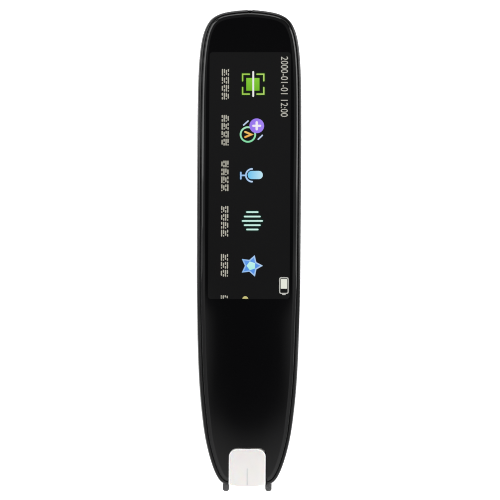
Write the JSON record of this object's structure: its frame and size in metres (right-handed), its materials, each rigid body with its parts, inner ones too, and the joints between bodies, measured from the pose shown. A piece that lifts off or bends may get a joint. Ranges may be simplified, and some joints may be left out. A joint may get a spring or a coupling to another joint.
{
  "type": "reading pen",
  "caption": "Slim hand-held scanning pen with a full-length glossy cover over a touch display, a clear nib window and a sprung two-legged scan trigger.",
  "frame": {"origin": "centre of the whole object's footprint on the surface that its flat back rests on", "axes": "+Y runs along the pen from the scanning nib to the display end, +Z from the flat back to the display, +X across the pen to the right as the display is seen with the nib down"},
  "size_m": [0.0372, 0.1717, 0.0115],
  "materials": {
    "shell": "fine satin black moulded plastic",
    "cover_glass": "polished black, hard coated",
    "frame_plastic": "dark grey glass-filled",
    "foam": "closed-cell foam and adhesive",
    "steel": "rolled",
    "silver_foil": "laminated foil",
    "display_glass": "dark polished",
    "clear_adhesive": "optically clear",
    "flex_circuit": "amber film with copper tracks",
    "circuit_board": "green solder mask",
    "connector_plastic": "ivory moulded",
    "connector_black": "black moulded",
    "chip_epoxy": "black epoxy",
    "rubber": "silicone",
    "dust_mesh": "fine woven mesh",
    "nib_window": "milky clear, polished",
    "white_plastic": "diffusing white",
    "lamp": "phosphor resin",
    "trigger_plastic": "semi-gloss black, rounded"
  },
  "bodies": {
    "housing": {"rear_shell": "shell", "front_cover": "cover_glass", "cover_adhesive": "foam", "mid_frame": "frame_plastic", "screw_1": "steel", "screw_2": "steel", "screw_3": "steel", "screw_4": "steel", "screw_5": "steel", "screw_6": "steel", "display_backlight": "silver_foil", "display_panel": "display_glass", "touch_sensor": "display_glass", "optical_adhesive": "clear_adhesive", "display_flex": "flex_circuit", "main_board": "circuit_board", "display_connector": "connector_plastic", "camera_connector": "connector_plastic", "processor": "chip_epoxy", "memory_chip": "chip_epoxy", "power_inductor": "chip_epoxy", "shield_can": "steel", "usb_receptacle_shell": "steel", "usb_receptacle_tongue": "connector_black", "microphone": "silver_foil", "microphone_boot": "rubber", "antenna": "flex_circuit", "battery_pad": "foam", "battery_cell": "silver_foil", "battery_board": "circuit_board", "speaker_mesh": "dust_mesh", "speaker_gasket": "foam", "speaker_module": "chip_epoxy", "nib_window": "nib_window", "light_chamber": "white_plastic", "lamp_board": "circuit_board", "lamp_left": "lamp", "lamp_right": "lamp", "camera_lens": "display_glass", "camera_holder": "connector_black", "camera_board": "circuit_board", "camera_flex": "flex_circuit", "trigger_board": "circuit_board", "trigger_switch": "connector_black", "return_spring_left": "steel", "return_spring_right": "steel", "power_switch_board": "circuit_board", "power_switch": "steel"},
    "trigger": {"scan_trigger": "trigger_plastic"},
    "trigger_switch_plunger": {"trigger_plunger": "connector_plastic"},
    "button": {"power_button": "shell"},
    "power_switch_plunger": {"power_plunger": "connector_plastic"}
  },
  "joints": [
    {"name": "scan_trigger_slide", "type": "slide", "parent": "housing", "child": "trigger", "axis": [0, 1, 0], "range_m": [0, 0.0008], "stiffness_N_per_m": 400, "springref_m": -0.001, "deforming": ["return_spring_left", "return_spring_right"]},
    {"name": "trigger_plunger_slide", "type": "slide", "parent": "housing", "child": "trigger_switch_plunger", "axis": [0, 1, 0], "range_m": [0, 0.0008]},
    {"name": "power_button_slide", "type": "slide", "parent": "housing", "child": "button", "axis": [-1, 0, 0], "range_m": [0, 0.0003], "stiffness_N_per_m": 600, "springref_m": -0.0005},
    {"name": "power_plunger_slide", "type": "slide", "parent": "housing", "child": "power_switch_plunger", "axis": [-1, 0, 0], "range_m": [0, 0.0003]}
  ],
  "couplings": [
    {"joint": "trigger_plunger_slide", "follows": "scan_trigger_slide", "ratio": 1},
    {"joint": "power_plunger_slide", "follows": "power_button_slide", "ratio": 1}
  ]
}
